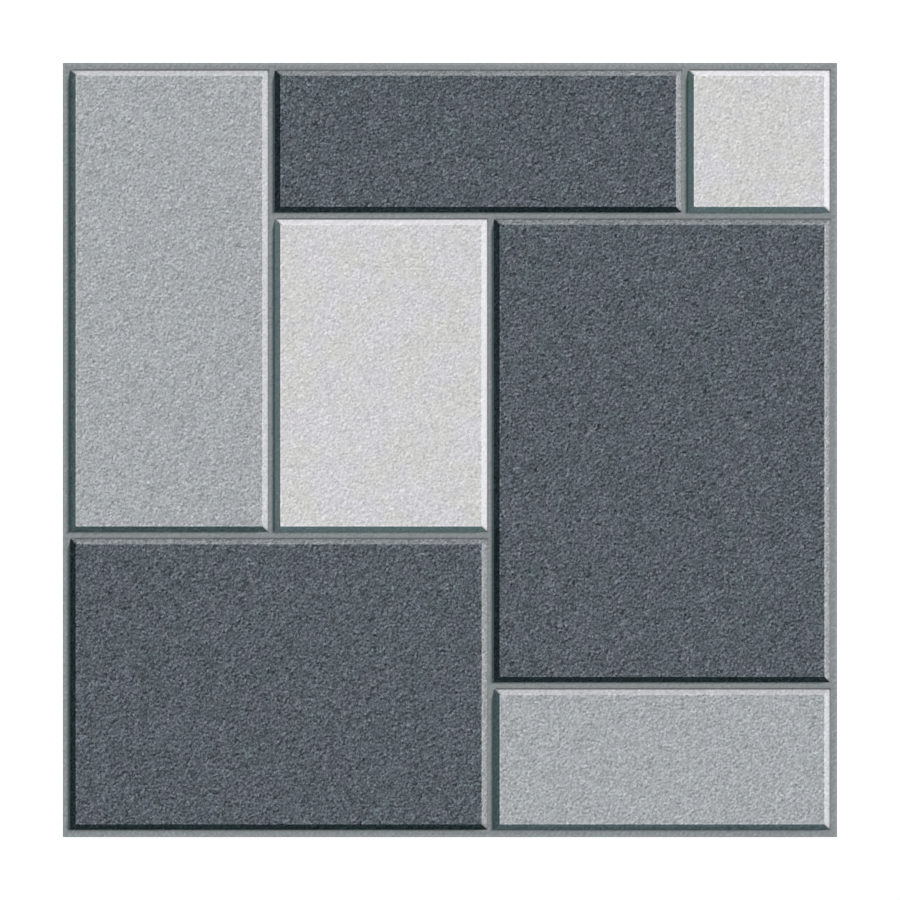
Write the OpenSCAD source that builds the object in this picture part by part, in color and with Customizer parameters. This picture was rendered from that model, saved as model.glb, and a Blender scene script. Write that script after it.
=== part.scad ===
// Cast concrete paving slab whose face imitates stones of several sizes laid with open joints.
// Millimetres. The origin is at the middle of the bed, +X runs to the right and +Y to the top
// of the pattern as it is seen from above, and +Z points up through the walking face.

/* [Slab] */
// Width along X where the slab is widest, just above its bed
slab_w = 400; // [300:1:600]
// Length along Y where the slab is widest, just above its bed
slab_l = 400; // [300:1:600]
// Thickness from the bed to the faces of the stones
slab_t = 40; // [25:1:80]
// How far each side leans in between the bed and the ledge, so that the slab leaves its mould
side_draft = 0.8; // [0.2:0.1:2]
// Radius of the arris along the outer edge of the ledge
rim_radius = 0.3; // [0.2:0.1:2]
// Chamfer along the edges of the bed
bed_chamfer = 0.8; // [0.2:0.1:2]

/* [Joints] */
// Depth of the joints and the ledge below the faces of the stones
joint_depth = 3.5; // [2:0.1:8]
// Width of a joint's flat floor, between the feet of two stones
joint_floor = 3.5; // [2:0.1:10]
// Width of the ledge, from the slab's widest edge to the feet of the outer stones
ledge_w = 4.6; // [2.5:0.1:10]
// Width in plan of the bevel round each stone
bevel_w = 2.8; // [1:0.1:6]
// Radius of the worn arris between a stone's bevel and its face
arris_radius = 0.4; // [0.2:0.1:2]

/* [Stones] */
// Width of the tall left stone, from the slab's edge to the middle of the joint
left_stone_w = 108.1; // [40:0.1:180]
// Width of the small corner stone, from the slab's edge to the middle of the joint
corner_stone_w = 79.2; // [40:0.1:180]
// Length of the top course, from the slab's edge to the middle of the joint
top_course_l = 79.5; // [40:0.1:140]
// Width of the low left stone, from the slab's edge to the middle of the joint
low_stone_w = 220.9; // [150:0.1:300]
// Length of the low left stone, from the slab's edge to the middle of the joint
low_stone_l = 156.1; // [60:0.1:260]
// Length of the base stone, from the slab's edge to the middle of the joint
base_stone_l = 78.7; // [40:0.1:200]

/* [Hidden] */

// Steps in each rounded arris
arris_steps = 5;
// How far a block runs past the face that it is cut or joined at
overrun = 0.5;

// Colours of the bare cast concrete and of the three tones of stone
cast_grey = [0.54, 0.56, 0.57];
mid_grey = [0.65, 0.67, 0.68];
dark_grey = [0.35, 0.38, 0.40];
light_grey = [0.81, 0.81, 0.81];

// Height of the joint floors and the ledge
ledge_z = slab_t - joint_depth;
// How far a stone's bevel runs out where it is carried on below the joint floor
root_out = overrun * bevel_w / joint_depth;

// Middle lines of the upright joints and of the courses
left_joint = left_stone_w - slab_w / 2;
low_joint = low_stone_w - slab_w / 2;
corner_joint = slab_w / 2 - corner_stone_w;
top_course = slab_l / 2 - top_course_l;
low_course = low_stone_l - slab_l / 2;
base_course = base_stone_l - slab_l / 2;

// Middle lines that joints of the same floor would have if they bordered the ledge
side_line = slab_w / 2 - ledge_w + joint_floor / 2;
end_line = slab_l / 2 - ledge_w + joint_floor / 2;

// Each stone by the joints on its left, right, lower and upper side, and its tone
stones = [
    [-side_line, left_joint, low_course, end_line, mid_grey],
    [left_joint, corner_joint, top_course, end_line, dark_grey],
    [corner_joint, side_line, top_course, end_line, light_grey],
    [left_joint, low_joint, low_course, top_course, light_grey],
    [low_joint, side_line, base_course, top_course, dark_grey],
    [-side_line, low_joint, -end_line, low_course, dark_grey],
    [low_joint, side_line, -end_line, base_course, mid_grey],
];

// Edge section as points of inset from the widest edge and height, from the side up to the flat top.
// The side rises by rise while it leans in by lean, and a radius leads over to the top.
function rounded_edge(lean, rise, top, radius) =
    let (slope = atan2(rise, lean), tangent = radius * tan(slope / 2))
    [for (i = [0 : arris_steps])
        let (turn = slope * (1 - i / arris_steps))
        [lean + tangent - radius * sin(turn), top - radius + radius * cos(turn)]];

// Outline of a whole section from its edge on one side and the same edge mirrored on the other
function across(edge, half) = concat(
    [for (p = edge) [half - p.x, p.y]],
    [for (i = [len(edge) - 1 : -1 : 0]) [edge[i].x - half, edge[i].y]]);

// Section of the slab's sides: chamfered bed, drafted side and rounded rim
side_edge = concat(
    [[bed_chamfer, 0], [0, bed_chamfer]],
    rounded_edge(side_draft, ledge_z - bed_chamfer, ledge_z, rim_radius));

// Section of a stone's sides: the bevel starts below the joint floor and ends in a worn arris
stone_edge = concat(
    [[-root_out, ledge_z - overrun]],
    rounded_edge(bevel_w, joint_depth, slab_t, arris_radius));

// Block with the same edge section on all four sides, mitred at the corners
module mitred_block(width, length, edge) {
    intersection() {
        rotate([90, 0, 0])
            linear_extrude(height = length + 2 * (root_out + overrun), center = true)
                polygon(across(edge, width / 2));
        rotate([90, 0, 90])
            linear_extrude(height = width + 2 * (root_out + overrun), center = true)
                polygon(across(edge, length / 2));
    }
}

// The cast body under the stones, with the ledge and the joint floors as its top
module slab_body() {
    color(cast_grey)
        mitred_block(slab_w, slab_l, side_edge);
}

// One raised stone between its four joints
module stone(left, right, lower, upper, tone) {
    color(tone)
        translate([(left + right) / 2, (lower + upper) / 2, 0])
            mitred_block(right - left - joint_floor, upper - lower - joint_floor, stone_edge);
}

// The slab is cast in one piece: the stones are raised from its body
module paving_slab() {
    slab_body();
    for (s = stones)
        stone(s[0], s[1], s[2], s[3], s[4]);
}

paving_slab();
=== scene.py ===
"""Concrete paving slab from above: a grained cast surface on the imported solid, in plain studio light."""

import math

import bpy
import numpy as np
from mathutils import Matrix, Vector
from mathutils.geometry import delaunay_2d_cdt


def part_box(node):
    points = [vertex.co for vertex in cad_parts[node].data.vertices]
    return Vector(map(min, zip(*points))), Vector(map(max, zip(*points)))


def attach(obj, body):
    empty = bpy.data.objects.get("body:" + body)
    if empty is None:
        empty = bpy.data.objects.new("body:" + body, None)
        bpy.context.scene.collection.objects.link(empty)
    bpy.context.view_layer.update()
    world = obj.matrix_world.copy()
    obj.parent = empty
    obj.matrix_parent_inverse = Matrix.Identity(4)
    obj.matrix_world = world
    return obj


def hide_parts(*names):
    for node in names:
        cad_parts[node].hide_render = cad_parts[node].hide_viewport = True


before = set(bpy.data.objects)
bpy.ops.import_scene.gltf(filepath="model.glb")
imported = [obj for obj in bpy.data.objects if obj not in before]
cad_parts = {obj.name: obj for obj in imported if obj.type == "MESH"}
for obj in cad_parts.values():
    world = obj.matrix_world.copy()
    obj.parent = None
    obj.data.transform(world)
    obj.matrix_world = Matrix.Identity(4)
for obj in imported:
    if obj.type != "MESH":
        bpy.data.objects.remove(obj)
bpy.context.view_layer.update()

NODE = "paving_slab"
MM = 0.001
# Distance within which two points of the solid count as one, and two points of the new mesh
TOUCH = 0.01 * MM
MESH_TOUCH = 0.001 * MM
# Decimal places at which two heights in metres count as one, and how upright the normal of a level face is
HEIGHT_PLACES = 6
LEVEL = 0.999

# Seed of the noise in the mesh, and how far apart the stones' seeds lie and the joints' lie from it
SEED = 41
STONE_SEEDS = 10
JOINT_SEEDS = 100

# Steps of the mesh along the stones, along the slab's sides, up its sides and across its bed
STONE_STEP = 1.55 * MM
RIM_STEP = 3.0 * MM
SIDE_STEP = 5.0 * MM
BED_STEP = 12.0 * MM
# Places of the rings of vertices on a stone's arris and on its bevel, in shares of their widths
ARRIS_SHARES = (0.0, 0.5, 1.0)
BEVEL_SHARES = (0.08, 0.45)
# Size of the coarse grain in the mesh, how much of a stone's grain its bevels keep, and how many steps of the
# mesh a bump on the slab's sides takes up
GRAIN = 1.7 * MM
BEVEL_GRAIN_SHARE = 0.3
SIDE_GRAIN_STEPS = 2

# Width of the worn strip along the edges of a stone's face, and along the slab's rim with its fading
WORN = 0.7 * MM
RIM_WORN = 0.85 * MM
RIM_FADE = 0.25 * MM
# Darkening of the ledge just inside the worn rim, and wear of the slab's upright edges
RIM_DARKENING = 0.09
CORNER_WEAR = 0.8
# Width of the painted shade on either side of the foot of a bevel, in the crease where bevel meets joint
FOOT_SHADE_WIDTH = 0.9 * MM

# Where the middle of each stone lies in shares of the slab's width and length, and its tone
STONE_SHARES = {
    (0.14, 0.70): "mid_stone",
    (0.54, 0.90): "dark_stone",
    (0.90, 0.90): "light_stone",
    (0.41, 0.60): "light_stone",
    (0.78, 0.50): "dark_stone",
    (0.28, 0.20): "dark_stone",
    (0.78, 0.10): "mid_stone",
}

# Colours of the cast body, which the dark stones' right and upper bevels also take as painted highlight, and
# of the painted highlight on the right and upper bevels of the light stones
BODY_GREY = (0.207, 0.226, 0.234)
LIGHT_STONE_HIGHLIGHT_GREY = (0.516, 0.537, 0.566)

# Of each finish: its colour, how far red and blue drift from patch to patch, and the size of a patch in
# millimetres; the contrast of its grain, the height of its fine relief and that of the coarse grain in the
# mesh; the contrast of its clouds, and the share of its pores where it has them.
# Of the low, right, upper and left bevel of a stone: its painted light and shade beside the face, lighter on
# the right and upper bevels and darker on the low and left ones; how far its painted highlight turns it to
# the highlight colour;
# and how much painted shade lies in the crease at its foot.
FINISHES = {
    "mid_stone": dict(
        colour=(0.324, 0.343, 0.357), drift=(0.013, 0.008), patch=8.0,
        speckle=0.21, relief=0.19 * MM, grain=0.020 * MM, haze=0.006,
        bevels=(0.71, 1.17, 1.11, 0.68), under=BODY_GREY, bare=(0, 0, 0, 0), dirt=(0, 0.5, 1, 0)),
    "dark_stone": dict(
        colour=(0.082, 0.097, 0.110), drift=(0.063, 0.038), patch=12.0,
        speckle=0.446, relief=0.44 * MM, grain=0.040 * MM, haze=0.006,
        bevels=(0.54, 1.16, 1.085, 0.52), under=BODY_GREY, bare=(0, 1, 0.62, 0), dirt=(0, 0.2, 0.8, 0)),
    "light_stone": dict(
        colour=(0.529, 0.528, 0.533), drift=(0.010, 0.045), patch=16.0,
        speckle=0.127, relief=0.11 * MM, grain=0.012 * MM, haze=0.006,
        bevels=(0.86, 0.92, 0.95, 0.71), under=LIGHT_STONE_HIGHLIGHT_GREY, bare=(0, 1, 1, 0), dirt=(0, 0.5, 1, 0.1)),
    "joint": dict(
        colour=BODY_GREY, drift=(0.015, 0.015), patch=12.0,
        speckle=0.085, relief=0.04 * MM, grain=0.020 * MM, haze=0.006),
    "side": dict(
        colour=(0.234, 0.253, 0.258), drift=(0.015, 0.020), patch=18.0,
        speckle=0.13, relief=0.15 * MM, grain=0.060 * MM, haze=0.11, pores=0.5),
    "bed": dict(
        colour=BODY_GREY, drift=(0.015, 0.020), patch=25.0,
        speckle=0.12, relief=0.25 * MM, grain=0.150 * MM, haze=0.14, pores=0.8),
}
SLOTS = list(FINISHES)
# How much of a bevel's painted light and shade and painted highlight is left at its foot
FOOT_SHARE = 0.7
# Of any stone's low, right, upper and left bevel: its share of the painted shadow tint, how far its grain is
# rubbed off, and its arris's wear
BEVEL_SHADOW_TINT = (1.0, 0.0, 0.0, 1.0)
BEVEL_SMOOTH = (0.07, 0.50, 0.42, 0.07)
ARRIS_WEAR = (1.0, 0.2, 0.2, 1.0)
# Lightness of the painted shade on a stone's right bevel at its low end and on its upper one at its left end,
# where the next bevel's painted shade reaches round the corner, and how much of the right one's dimming there
# is at the arris
RIGHT_END_SHADE = 0.25
UPPER_END_SHADE = 0.14
ARRIS_END_SHARE = 0.5
# Lightness of the painted shade on the rim's arris along the slab's low, right, upper and left side, darkest
# on the right and upper sides, which face the key light
RIM_ARRIS_SHADE = (0.82, 0.44, 0.46, 0.82)

# Layout of the texture map: the face takes a square, the sides strips beside it and the bed the corner left
FACE_MAP_SHARE = 0.80
MAP_GAP_SHARE = 0.01


# The slab's form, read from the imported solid

def level_patches(mesh, height):
    """Boxes (low x, low y, high x, high y) of the level faces at that height, one for each patch."""
    patches = []
    for face in mesh.polygons:
        if face.normal.z > LEVEL and abs(face.center.z - height) < TOUCH:
            corners = set(face.vertices)
            joined = [p for p in patches if p & corners]
            patches = [p for p in patches if not p & corners] + [corners.union(*joined)]
    boxes = []
    for patch in patches:
        places = np.array([mesh.vertices[i].co[:2] for i in patch])
        boxes.append((*places.min(0), *places.max(0)))
    return sorted(boxes)


def mitre_section(points, corner, low, high):
    """Outsets and heights of the points on the mitre that runs outwards from a corner, from the top down."""
    out = points[:, :2] - np.array(corner)
    on = (abs(out[:, 0] - out[:, 1]) < TOUCH) & (out[:, 0] > -TOUCH)
    on &= (points[:, 2] > low - TOUCH) & (points[:, 2] < high + TOUCH)
    nearest = {}
    for outset, height in zip(out[on, 0], points[on, 2]):
        key = round(float(height), HEIGHT_PLACES)
        nearest[key] = min(float(outset), nearest.get(key, math.inf))
    return [(nearest[z], z) for z in sorted(nearest, reverse=True)]


def along(section, places):
    """Points of a section at the given distances from its start."""
    line = np.array(section)
    run = np.concatenate([[0], np.cumsum(np.linalg.norm(np.diff(line, axis=0), axis=1))])
    return np.c_[np.interp(places, run, line[:, 0]), np.interp(places, run, line[:, 1])]


def length_of(section):
    """Length of a section from its start to its end."""
    return float(np.linalg.norm(np.diff(np.array(section), axis=0), axis=1).sum())


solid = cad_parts[NODE].data
solid_points = np.array([v.co for v in solid.vertices])
LOW, HIGH = (np.array(v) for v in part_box(NODE))
TOP = HIGH[2]
LEDGE = max(f.center.z for f in solid.polygons if f.normal.z > LEVEL and f.center.z < TOP - TOUCH)
STONES = level_patches(solid, TOP)
RIM = level_patches(solid, LEDGE)[0]
stone_section = mitre_section(solid_points, STONES[-1][2:], LEDGE, TOP)
side_section = mitre_section(solid_points, RIM[2:], 0, LEDGE)


# Noise and the growing mesh

def value_noise(x, y, cell, seed):
    """Smooth noise with a spread of about 1 and features of the size of a cell."""
    x, y = np.asarray(x) / cell, np.asarray(y) / cell
    i, j = np.floor(x).astype(int), np.floor(y).astype(int)
    lattice = np.random.default_rng(seed).standard_normal((np.ptp(j) + 2, np.ptp(i) + 2))
    u, v = x - i, y - j
    u, v = u * u * (3 - 2 * u), v * v * (3 - 2 * v)
    i, j = i - i.min(), j - j.min()
    low = lattice[j, i] * (1 - u) + lattice[j, i + 1] * u
    high = lattice[j + 1, i] * (1 - u) + lattice[j + 1, i + 1] * u
    return low * (1 - v) + high * v


# Painted shading, painted highlight and painted shadow tint where a face has no bevel: none
PLAIN = (1.0, 0.0, 0.0)


class Surface:
    """Vertices with their marks, and faces with their finish, looks and map places, gathered piece by piece.

    A vertex's marks say how far its grain is rubbed off, how much it is darkened (painted shade in the crease
    at a bevel's foot, and a darker band inside the rim) and how worn. A face's looks give painted light and
    shade, painted highlight and painted shadow tint at each of its corners.
    """

    def __init__(self):
        self.places, self.marks, self.sharp = [], [], set()
        self.faces, self.slots, self.looks, self.map = [], [], [], []

    def add(self, places, smooth=0.0, dirt=0.0, wear=0.0):
        """Adds vertices and returns their numbers."""
        first = len(self.places)
        self.places.extend(map(tuple, places))
        self.marks.extend(zip(*(np.broadcast_to(value, len(places)) for value in (smooth, dirt, wear))))
        return np.arange(first, len(self.places))

    def face(self, corners, finish, spots, looks=None):
        """Adds a face with the places of its corners in the texture map."""
        self.faces.append(tuple(int(c) for c in corners))
        self.slots.append(SLOTS.index(finish))
        self.looks.extend(looks or [PLAIN] * len(corners))
        self.map.extend(spots)

    def sharpen(self, starts, ends):
        """Keeps the shading from running over the edges between those vertices."""
        self.sharp.update((int(min(pair)), int(max(pair))) for pair in zip(starts, ends))

    def plan_share(self, vertex):
        """Shares of the slab's width and length at which a vertex lies."""
        x, y, _ = self.places[vertex]
        return (x - LOW[0]) / (HIGH[0] - LOW[0]), (y - LOW[1]) / (HIGH[1] - LOW[1])

    def face_spot(self, vertex):
        """Place of a vertex of the upper side in the texture map."""
        return tuple(FACE_MAP_SHARE * share for share in self.plan_share(vertex))

    def bed_spot(self, vertex):
        """Place of a vertex of the underside in the texture map."""
        wide = 1 - FACE_MAP_SHARE - 2 * MAP_GAP_SHARE
        return tuple(FACE_MAP_SHARE + MAP_GAP_SHARE + wide * share for share in self.plan_share(vertex))

    def upper_face(self, corners, finish, looks=None):
        """Adds a face of the upper side, which lies in the texture map as it does on the slab."""
        self.face(corners, finish, [self.face_spot(c) for c in corners], looks)


def loop_shares(nx, ny):
    """Shares of width and length along the border of a grid, anticlockwise from its low corner."""
    i, j = np.arange(nx), np.arange(ny)
    u = np.concatenate([i, np.full(ny, nx), nx - i, np.zeros(ny)]) / nx
    v = np.concatenate([np.zeros(nx), j, np.full(nx, ny), ny - j]) / ny
    return u, v


def ring(box, outset, height, shares):
    """Points of a rectangle that lies outside a box by that much."""
    u, v = shares
    x = box[0] - outset + (box[2] - box[0] + 2 * outset) * u
    y = box[1] - outset + (box[3] - box[1] + 2 * outset) * v
    return np.c_[x, y, np.broadcast_to(height, len(x))]


def grid_steps(box, step):
    """Numbers of steps along a box's width and length."""
    return [round((box[k + 2] - box[k]) / step) for k in (0, 1)]


def tone_of(box):
    """Finish of the stone whose middle lies nearest to that of a box."""
    middle = np.array([(box[0] + box[2]) / 2 - LOW[0], (box[1] + box[3]) / 2 - LOW[1]])
    share = middle / (HIGH[:2] - LOW[:2])
    return STONE_SHARES[min(STONE_SHARES, key=lambda s: math.dist(s, share))]


def bevel_stops():
    """Places of a stone's rings along its section: arris, bevel, edge of the painted shade at the foot, and
    foot.
    """
    arris, whole = length_of(stone_section[:-1]), length_of(stone_section)
    stops = [arris * s for s in ARRIS_SHARES] + [arris + (whole - arris) * s for s in BEVEL_SHARES]
    return np.array(stops + [whole - FOOT_SHADE_WIDTH, whole]), arris, whole


def bevel_looks(about, on_bevel, depth):
    """Painted light and shade, painted highlight and painted shadow tint of a stone's four bevels at one of
    its rings.
    """
    own = on_bevel * (1 - (1 - FOOT_SHARE) * depth)
    bevels = zip(about["bevels"], about["bare"], BEVEL_SHADOW_TINT)
    return [(1 + (painted_shading - 1) * own, bare * own, shadow_tint * on_bevel) for painted_shading, bare, shadow_tint in bevels]


def right_end_share(on_bevel, depth):
    """Share of its lightness that the right bevel keeps at its low end under painted shade, at one of the
    stone's rings.
    """
    reach = on_bevel * (ARRIS_END_SHARE + (1 - ARRIS_END_SHARE) * depth)
    return 1 - (1 - RIGHT_END_SHADE) * reach


def dimmed(looks, shares):
    """Looks with their lightness brought down to those shares by painted shade."""
    return [(painted_shading * share, bare, shadow_tint) for (painted_shading, bare, shadow_tint), share in zip(looks, shares)]


def add_face(surface, box, finish, seed):
    """Adds the grained face of a stone inside its worn strip, and returns its grid of vertices."""
    nx, ny = grid_steps(box, STONE_STEP)
    shares = (g.ravel() for g in np.meshgrid(np.linspace(0, 1, nx + 1), np.linspace(0, 1, ny + 1)))
    places = ring(box, -WORN, TOP, tuple(shares))
    places[:, 2] += FINISHES[finish]["grain"] * value_noise(places[:, 0], places[:, 1], GRAIN, seed)
    grid = surface.add(places).reshape(ny + 1, nx + 1)
    for j in range(ny):
        for i in range(nx):
            surface.upper_face((grid[j, i], grid[j, i + 1], grid[j + 1, i + 1], grid[j + 1, i]), finish)
    return grid


def add_stone(surface, box, seed):
    """Adds one stone's face and bevels, and returns its foot ring."""
    finish = tone_of(box)
    about = FINISHES[finish]
    grid = add_face(surface, box, finish, seed)
    nx, ny = grid_steps(box, STONE_STEP)
    shares, sides = loop_shares(nx, ny), np.repeat(range(4), (nx, ny, nx, ny))
    corners = [0, nx, nx + ny, 2 * nx + ny]
    inner = np.concatenate([grid[0, :-1], grid[:-1, -1], grid[-1, :0:-1], grid[:0:-1, 0]])
    inner_look, inner_end = [PLAIN] * 4, 1.0
    stops, arris, whole = bevel_stops()
    for k, (outset, z) in enumerate(along(stone_section, stops)):
        # The first rises from 0 to 1 over the arris, the second from there to the foot
        on_bevel = min(1, stops[k] / arris)
        depth = max(0, (stops[k] - arris) / (whole - arris))
        at_foot = k == len(stops) - 1
        places = ring(box, outset, z, shares)
        rough = value_noise(places[:, 0], places[:, 1], GRAIN, seed + k + 1)
        places[:, 2] += 0 if at_foot else about["grain"] * BEVEL_GRAIN_SHARE * rough
        outer = surface.add(places, smooth=np.array(BEVEL_SMOOTH)[sides] * on_bevel,
                            dirt=np.array(about["dirt"])[sides] * at_foot,
                            wear=np.array(ARRIS_WEAR)[sides] * (1 - depth))
        outer_look, outer_end = bevel_looks(about, on_bevel, depth), right_end_share(on_bevel, depth)
        for i, side in enumerate(sides):
            j = (i + 1) % len(sides)
            looks = [inner_look[side], outer_look[side], outer_look[side], inner_look[side]]
            # Painted shade dims the lit bevels at the ends that meet the shaded ones
            if i == corners[1]:
                looks[:2] = dimmed(looks[:2], (inner_end, outer_end))
            if k > 0 and j == corners[3]:
                looks[2:] = dimmed(looks[2:], (UPPER_END_SHADE, UPPER_END_SHADE))
            surface.upper_face((inner[i], outer[i], outer[j], inner[j]), finish, looks)
        if k > 0:
            surface.sharpen(inner[corners], outer[corners])
        if k == 0 or at_foot:
            surface.sharpen(outer, np.roll(outer, -1))
        inner, inner_look, inner_end = outer, outer_look, outer_end
    return inner


def fill(surface, loops, inside, finish, upward, spot_of, holes=()):
    """Fills the plane between closed loops of vertices with triangles that also meet the inside points."""
    known = np.concatenate([*loops, inside]).astype(int)
    flat = [Vector(surface.places[i][:2]) for i in known]
    edges, start = [], 0
    for loop in loops:
        edges += [(start + i, start + (i + 1) % len(loop)) for i in range(len(loop))]
        start += len(loop)
    places, _, faces, origin, _, _ = delaunay_2d_cdt(flat, edges, [], 0, MESH_TOUCH)
    for corners in faces:
        a, b, c = (places[i] for i in corners)
        middle = (a + b + c) / 3
        if any(h[0] < middle.x < h[2] and h[1] < middle.y < h[3] for h in holes):
            continue
        turned = (b - a).cross(c - a) > 0
        ids = [known[origin[i][0]] for i in (corners if turned == upward else corners[::-1])]
        surface.face(ids, finish, [spot_of(i) for i in ids])


def add_joints(surface, feet):
    """Adds the joint floors and the ledge round the stones, and returns the rim's ring and its shares."""
    shares = loop_shares(*grid_steps(RIM, RIM_STEP))
    rim = surface.add(ring(RIM, 0, LEDGE, shares), wear=1.0)
    inside = [surface.add(ring(RIM, -RIM_WORN, LEDGE, shares), wear=1.0),
              surface.add(ring(RIM, -RIM_WORN - RIM_FADE, LEDGE, shares), dirt=RIM_DARKENING)]
    foot_out = stone_section[-1][0]
    for number, box in enumerate(STONES):
        places = ring(box, foot_out + FOOT_SHADE_WIDTH, LEDGE, loop_shares(*grid_steps(box, STONE_STEP)))
        rough = value_noise(places[:, 0], places[:, 1], GRAIN, SEED + JOINT_SEEDS + number)
        places[:, 2] += FINISHES["joint"]["grain"] * rough
        inside.append(surface.add(places))
    holes = [(b[0] - foot_out, b[1] - foot_out, b[2] + foot_out, b[3] + foot_out) for b in STONES]
    fill(surface, [rim, *feet], np.concatenate(inside), "joint", True, surface.face_spot, holes)
    return rim, shares


def strip_spot(side, share, depth):
    """Place in the texture map of a point on one of the four sides, at a share of its length and a depth."""
    wide = (1 - FACE_MAP_SHARE) / 2
    across = FACE_MAP_SHARE + MAP_GAP_SHARE + wide * (side % 2) + (wide - 2 * MAP_GAP_SHARE) * depth
    return (across, FACE_MAP_SHARE * share) if side < 2 else (FACE_MAP_SHARE * share, across)


def side_stops():
    """Places of the sides' rings along their section, and whether the strip above each is the rim's arris."""
    run, rounded = [0.0], [True]
    for a, b in zip(side_section, side_section[1:]):
        steps = max(1, round(math.dist(a, b) / SIDE_STEP))
        run += [run[-1] + math.dist(a, b) * (k + 1) / steps for k in range(steps)]
        rounded += [b[1] > LEDGE - RIM_WORN] * steps
    return run, rounded


def add_sides(surface, rim, shares):
    """Adds the rounded rim, the drafted sides and the bed's chamfer, and returns the bed's ring."""
    run, rounded = side_stops()
    per_side = len(rim) // 4
    outward = np.repeat([[0, -1], [1, 0], [0, 1], [-1, 0]], per_side, axis=0)
    # The upright edges stay where the solid has them
    outward[::per_side] = 0
    inner = rim
    for k, (outset, z) in enumerate(along(side_section, run[1:])):
        places = ring(RIM, outset, z, shares)
        rough = value_noise(np.arange(len(rim)), np.zeros(len(rim)), SIDE_GRAIN_STEPS, SEED + k)
        if 0 < z and not rounded[k + 1]:
            places[:, :2] -= FINISHES["side"]["grain"] * abs(rough)[:, None] * outward
        outer = surface.add(places, wear=CORNER_WEAR * (np.arange(len(rim)) % per_side == 0))
        top, low = run[k] / run[-1], run[k + 1] / run[-1]
        for i in range(len(rim)):
            j = (i + 1) % len(rim)
            side, at = divmod(i, per_side)
            ends = ((at, top), (at, low), (at + 1, low), (at + 1, top))
            spots = [strip_spot(side, step / per_side, depth) for step, depth in ends]
            # The rim's arris takes painted shade, darkest on the right and upper sides
            painted_shading = RIM_ARRIS_SHADE[side] if rounded[k + 1] else 1.0
            surface.face((inner[i], outer[i], outer[j], inner[j]), "side", spots, [(painted_shading, 0.0, 0.0)] * 4)
        surface.sharpen(inner[::per_side], outer[::per_side])
        inner = outer
    return inner


def add_bed(surface, edge):
    """Closes the underside, which is a little uneven but never below the floor."""
    count = int((HIGH[0] - LOW[0]) / BED_STEP)
    lines = [np.linspace(LOW[axis], HIGH[axis], count + 2)[1:-1] for axis in (0, 1)]
    x, y = (grid.ravel() for grid in np.meshgrid(*lines))
    z = FINISHES["bed"]["grain"] * abs(value_noise(x, y, BED_STEP, SEED))
    inside = surface.add(np.c_[x, y, z])
    fill(surface, [edge], inside, "bed", False, surface.bed_spot)


def cast_slab():
    """The whole slab as one closed mesh."""
    surface = Surface()
    feet = [add_stone(surface, box, SEED + STONE_SEEDS * k) for k, box in enumerate(STONES)]
    rim, shares = add_joints(surface, feet)
    add_bed(surface, add_sides(surface, rim, shares))
    mesh = bpy.data.meshes.new("cast_slab")
    mesh.from_pydata(surface.places, [], surface.faces)
    mesh.polygons.foreach_set("material_index", surface.slots)
    mesh.polygons.foreach_set("use_smooth", [True] * len(surface.faces))
    mesh.uv_layers.new(name="OFBake").data.foreach_set("uv", np.ravel(surface.map))
    for name, values in zip(("smooth", "dirt", "wear"), np.transpose(surface.marks)):
        mesh.attributes.new(name, "FLOAT", "POINT").data.foreach_set("value", values)
    for name, values in zip(("painted_shading", "bare", "shadow_tint"), np.transpose(surface.looks)):
        mesh.attributes.new(name, "FLOAT", "CORNER").data.foreach_set("value", values)
    for edge in mesh.edges:
        edge.use_edge_sharp = (min(edge.vertices), max(edge.vertices)) in surface.sharp
    for finish in SLOTS:
        mesh.materials.append(concrete(finish))
    mesh.validate()
    slab = bpy.data.objects.new("cast_slab", mesh)
    bpy.context.scene.collection.objects.link(slab)
    return slab


# Material nodes

def add_node(tree, kind, values=None, **settings):
    """Adds a node with settings, and with values or links on its inputs."""
    node = tree.nodes.new(kind)
    for name, value in settings.items():
        setattr(node, name, value)
    for key, value in (values or {}).items():
        if isinstance(value, bpy.types.NodeSocket):
            tree.links.new(value, node.inputs[key])
        else:
            node.inputs[key].default_value = value
    return node


def calc(tree, operation, *values):
    """One sum on numbers or links."""
    return add_node(tree, "ShaderNodeMath", dict(enumerate(values)), operation=operation).outputs[0]


def spread(tree, value, source, target):
    """Maps a value from one range to another, without going past its ends."""
    values = {"Value": value, "From Min": source[0], "From Max": source[1],
              "To Min": target[0], "To Max": target[1]}
    return add_node(tree, "ShaderNodeMapRange", values).outputs["Result"]


def blend(tree, share, first, second, way="MIX"):
    """Mixes or multiplies two colours, which may be links or plain values."""
    pair = [c if isinstance(c, bpy.types.NodeSocket) else (*c, 1) for c in (first, second)]
    values = {0: share, 6: pair[0], 7: pair[1]}
    return add_node(tree, "ShaderNodeMix", values, data_type="RGBA", blend_type=way).outputs[2]


def noise(tree, where, size_mm, detail=1.0):
    """Soft noise from 0 to 1 with features of that size."""
    values = {"Vector": where, "Scale": 1 / size_mm, "Detail": detail}
    return add_node(tree, "ShaderNodeTexNoise", values).outputs["Fac"]


def cells(tree, where, size_mm):
    """The distance to the middle of the nearest grain of that size, and the grain's own value from 0 to 1."""
    node = add_node(tree, "ShaderNodeTexVoronoi", {"Vector": where, "Scale": 1 / size_mm})
    own = add_node(tree, "ShaderNodeSeparateColor", {"Color": node.outputs["Color"]})
    return node.outputs["Distance"], own.outputs["Red"]


def mark(tree, name):
    """A mark or look that the mesh holds under that name."""
    return add_node(tree, "ShaderNodeAttribute", attribute_name=name).outputs["Fac"]


# Concrete

# Direction of the strokes in the grain as seen from above, in degrees
STROKE_ANGLE = 34.0
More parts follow.
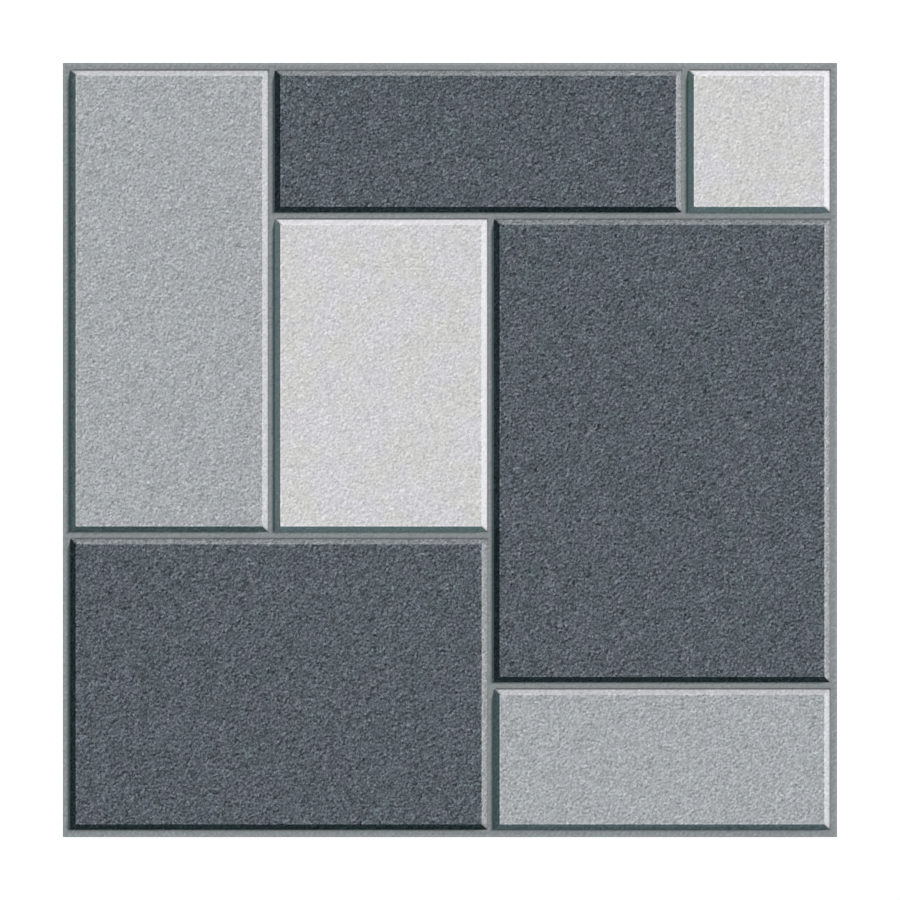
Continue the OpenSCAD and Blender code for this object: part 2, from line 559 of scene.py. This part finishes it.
# Sizes in millimetres of the strokes, from their flank with painted highlight to their flank with painted
# shade, of the sand grains, of the fine relief, of the clouds, of the patches where the grain is stronger or
# weaker, and of the spots of wear
STROKE_SIZE = 1.55
STROKE_FLANK = 0.55
SAND_SIZES = (1.06, 0.92)
RELIEF_SIZE = 1.0
CLOUD_SIZE = 30.0
TUFT_SIZE = 5.0
WEAR_SIZE = 3.0
# How finely the clouds are broken up
CLOUD_DETAIL = 3.0
# Contrast of the strokes and of the sand grains, and how much it varies from patch to patch
STROKE_GAIN = 1.66
SAND_GAIN = 0.385
TUFT_SHARE = 0.36
# The power that turns contrast as the eye sees it into contrast of reflected light
EYE_POWER = 2.2
# The range that most of a noise lies in, and the range in which wear comes to show
NOISE_RANGE = (0.3, 0.7)
WEAR_RANGE = (0.05, 0.3)
# Lightness of the full darkening, which at the bevels' feet is painted shade, colour of the painted shadow
# tint, and lightness of worn edges
DARKENING_SHADE = 0.30
SHADOW_TINT_COLOUR = (0.86, 1.0, 1.0)
WORN_SHADE = 1.16
# Spacing of the large and the small pores in millimetres, the radius of the largest and the width of its soft
# edge as shares of that, and the lightness of the painted shade in a pore and its depth beside the fine
# relief
PORE_SIZES = (11.0, 4.5)
PORE_SHARE = 0.19
PORE_EDGE_SHARE = 0.04
PORE_SHADE = 0.45
PORE_DEPTH = 4.0
# Roughness of dark and of pale grains, and the faint gloss
ROUGHNESS = (0.95, 0.75)
GLOSS = 0.08


def slab_places(tree):
    """Places on the slab in millimetres, turned so that the second axis runs across the strokes."""
    metres = add_node(tree, "ShaderNodeTexCoord").outputs["Object"]
    values = {"Vector": metres, "Rotation": (0, 0, math.radians(STROKE_ANGLE)), "Scale": (MM, MM, MM)}
    return add_node(tree, "ShaderNodeMapping", values, vector_type="TEXTURE").outputs["Vector"]


def sandy_grain(tree, where):
    """Strokes with painted highlight on one flank and painted shade on the other, as of a relief lit from one
    side, and sand grains of two sizes.
    """
    beside = add_node(tree, "ShaderNodeVectorMath", {0: where, 1: (0, STROKE_FLANK, 0)}).outputs["Vector"]
    flanks = [noise(tree, spot, STROKE_SIZE, 0.0) for spot in (where, beside)]
    strokes = calc(tree, "MULTIPLY", calc(tree, "SUBTRACT", *flanks), STROKE_GAIN)
    values = [cells(tree, where, size)[1] for size in SAND_SIZES]
    grains = [spread(tree, value, (0, 1), (-SAND_GAIN, SAND_GAIN)) for value in values]
    return calc(tree, "ADD", strokes, calc(tree, "ADD", *grains))


def shade_of(tree, where, about, contrast):
    """Lightness beside the finish's own colour, from grain with its painted strokes, clouds, darkening, wear,
    and the painted light and shade of the bevels and the rim's arris.
    """
    tufts = spread(tree, noise(tree, where, TUFT_SIZE), NOISE_RANGE, (1 - TUFT_SHARE, 1 + TUFT_SHARE))
    grain = calc(tree, "MULTIPLY_ADD", calc(tree, "MULTIPLY", contrast, tufts), about["speckle"], 1.0)
    shade = calc(tree, "POWER", grain, EYE_POWER)
    clouds = noise(tree, where, CLOUD_SIZE, CLOUD_DETAIL)
    worn = calc(tree, "MULTIPLY", mark(tree, "wear"), noise(tree, where, WEAR_SIZE))
    factors = [
        spread(tree, clouds, NOISE_RANGE, (1 - about["haze"], 1 + about["haze"])),
        spread(tree, mark(tree, "dirt"), (0, 1), (1, DARKENING_SHADE)),
        spread(tree, worn, WEAR_RANGE, (1, WORN_SHADE)),
        mark(tree, "painted_shading"),
    ]
    for factor in factors:
        shade = calc(tree, "MULTIPLY", shade, factor)
    return shade


def colour_of(tree, where, about):
    """The finish's colour with its drift, the painted highlight colour on the right and upper bevels, and the
    painted shadow tint on the low and left bevels.
    """
    drift = np.array([about["drift"][0], 0, about["drift"][1]])
    patch = spread(tree, noise(tree, where, about["patch"]), NOISE_RANGE, (0, 1))
    colour = blend(tree, patch, about["colour"] * (1 - drift), about["colour"] * (1 + drift))
    if "under" in about:
        colour = blend(tree, mark(tree, "bare"), colour, about["under"])
    return blend(tree, mark(tree, "shadow_tint"), colour, SHADOW_TINT_COLOUR, "MULTIPLY")


def pore_pits(tree, where, share):
    """Pits from 0 at a pore's edge to 1 inside it, for each size of pore, in that share of the places."""
    for size in PORE_SIZES:
        middle, own = cells(tree, where, size)
        radius = spread(tree, own, (1 - share, 1), (0, PORE_SHARE))
        yield spread(tree, calc(tree, "SUBTRACT", radius, middle), (0, PORE_EDGE_SHARE), (0, 1))


def concrete(finish):
    """Cast concrete with the looks of one finish."""
    about = FINISHES[finish]
    material = bpy.data.materials.new(finish)
    material.use_nodes = True
    tree = material.node_tree
    shader = tree.nodes["Principled BSDF"]
    where = slab_places(tree)
    sand = sandy_grain(tree, where)
    grained = calc(tree, "SUBTRACT", 1.0, mark(tree, "smooth"))
    shade = shade_of(tree, where, about, calc(tree, "MULTIPLY", sand, grained))
    height = calc(tree, "MULTIPLY", noise(tree, where, RELIEF_SIZE), grained)
    if "pores" in about:
        for pit in pore_pits(tree, where, about["pores"]):
            # Painted shade darkens each pore, which the bump also sinks
            shade = calc(tree, "MULTIPLY", shade, spread(tree, pit, (0, 1), (1, PORE_SHADE)))
            height = calc(tree, "MULTIPLY_ADD", pit, -PORE_DEPTH, height)
    colour = blend(tree, 1.0, colour_of(tree, where, about), shade, "MULTIPLY")
    bump = add_node(tree, "ShaderNodeBump", {"Height": height, "Distance": about["relief"], "Strength": 1.0})
    tree.links.new(colour, shader.inputs["Base Color"])
    tree.links.new(spread(tree, sand, (-1, 1), ROUGHNESS), shader.inputs["Roughness"])
    tree.links.new(bump.outputs["Normal"], shader.inputs["Normal"])
    shader.inputs["Specular IOR Level"].default_value = GLOSS
    return material


# Floor, light and camera

# Directions towards the lights: azimuth anticlockwise from +X and elevation, in degrees
KEY_DIRECTION = (38.0, 33.0)
OVERHEAD_DIRECTION = (0.0, 90.0)
# Sizes of the lights in degrees, and their strengths
KEY_SIZE = 10.0
KEY_STRENGTH = 4.98
OVERHEAD_SIZE = 60.0
OVERHEAD_STRENGTH = 0.56
FLOOR_LIGHT_SIZE = 2.0
FLOOR_STRENGTH = 3.25
FILL_STRENGTH = 0.12
# The key light is a little warm, the fill from all round and from overhead cool, and both together white
KEY_COLOUR = (1.095, 1.0, 0.996)
FILL_COLOUR = (0.744, 1.0, 1.036)
WHITE = (1.0, 1.0, 1.0)
# The floor's width in metres, how far it lies below the slab so that the two don't flicker, and its finish
FLOOR_SIZE = 60.0
FLOOR_DROP = 0.2 * MM
FLOOR_COLOUR = (0.9, 0.9, 0.9)
FLOOR_ROUGHNESS = 0.9

# The photograph's frame and the slab's width in it, in pixels
FRAME_PX = 900
SLAB_PX = 774.1
# A long lens, since the photograph shows no perspective
LENS_MM = 400
SENSOR_MM = 36
# How far below the ledge the rim's arris can reach
RIM_REACH = 1.0 * MM


def sun(name, direction, size, strength, colour, receivers):
    """A distant lamp that lights only the objects of one collection."""
    lamp = bpy.data.lights.new(name, "SUN")
    lamp.color = colour
    lamp.energy = strength
    lamp.angle = math.radians(size)
    holder = bpy.data.objects.new(name, lamp)
    azimuth, elevation = (math.radians(angle) for angle in direction)
    level = math.cos(elevation)
    towards = Vector((level * math.cos(azimuth), level * math.sin(azimuth), math.sin(elevation)))
    holder.rotation_mode = "QUATERNION"
    holder.rotation_quaternion = towards.to_track_quat("Z", "Y")
    holder.light_linking.receiver_collection = receivers
    bpy.context.scene.collection.objects.link(holder)


def collection_of(name, item):
    """A collection with one object, for a lamp to light."""
    group = bpy.data.collections.new(name)
    group.objects.link(item)
    return group


def add_floor():
    """A plain pale floor, wide enough to fill any view."""
    half = FLOOR_SIZE / 2
    mesh = bpy.data.meshes.new("floor")
    corners = [(-half, -half), (half, -half), (half, half), (-half, half)]
    mesh.from_pydata([(x, y, -FLOOR_DROP) for x, y in corners], [], [(0, 1, 2, 3)])
    paint = bpy.data.materials.new("pale_floor")
    paint.use_nodes = True
    shader = paint.node_tree.nodes["Principled BSDF"]
    shader.inputs["Base Color"].default_value = (*FLOOR_COLOUR, 1)
    shader.inputs["Roughness"].default_value = FLOOR_ROUGHNESS
    shader.inputs["Specular IOR Level"].default_value = 0.0
    mesh.materials.append(paint)
    floor = bpy.data.objects.new("floor", mesh)
    bpy.context.scene.collection.objects.link(floor)
    return floor


def add_fill():
    """Cool dim light from all round, which shows as a white background."""
    world = bpy.data.worlds.new("studio")
    world.use_nodes = True
    tree = world.node_tree
    fill_light = tree.nodes["Background"]
    fill_light.inputs["Color"].default_value = (*FILL_COLOUR, 1)
    fill_light.inputs["Strength"].default_value = FILL_STRENGTH
    backdrop = add_node(tree, "ShaderNodeBackground", {"Color": (*WHITE, 1), "Strength": 1.0})
    seen = add_node(tree, "ShaderNodeLightPath").outputs["Is Camera Ray"]
    both = add_node(tree, "ShaderNodeMixShader", {0: seen, 1: fill_light.outputs[0], 2: backdrop.outputs[0]})
    tree.links.new(both.outputs[0], tree.nodes["World Output"].inputs["Surface"])
    bpy.context.scene.world = world


def add_camera():
    """Looks straight down from far off, with the slab's rim as wide as in the photograph."""
    outset, height = max(point for point in side_section if point[1] > LEDGE - RIM_REACH)
    rim_width = RIM[2] - RIM[0] + 2 * outset
    lens = bpy.data.cameras.new("camera")
    lens.lens, lens.sensor_width = LENS_MM, SENSOR_MM
    distance = rim_width * FRAME_PX / SLAB_PX * LENS_MM / SENSOR_MM
    lens.clip_end = 2 * distance
    camera = bpy.data.objects.new("camera", lens)
    camera.location = (0, 0, height + distance)
    bpy.context.scene.collection.objects.link(camera)
    bpy.context.scene.camera = camera


slab = cast_slab()
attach(slab, "root")
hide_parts(NODE)
floor = add_floor()
slab_only = collection_of("slab_only", slab)
floor_only = collection_of("floor_only", floor)
sun("key_light", KEY_DIRECTION, KEY_SIZE, KEY_STRENGTH, KEY_COLOUR, slab_only)
sun("overhead_light", OVERHEAD_DIRECTION, OVERHEAD_SIZE, OVERHEAD_STRENGTH, FILL_COLOUR, slab_only)
sun("floor_light", OVERHEAD_DIRECTION, FLOOR_LIGHT_SIZE, FLOOR_STRENGTH, WHITE, floor_only)
add_fill()
add_camera()
bpy.context.scene.view_settings.view_transform = "Standard"
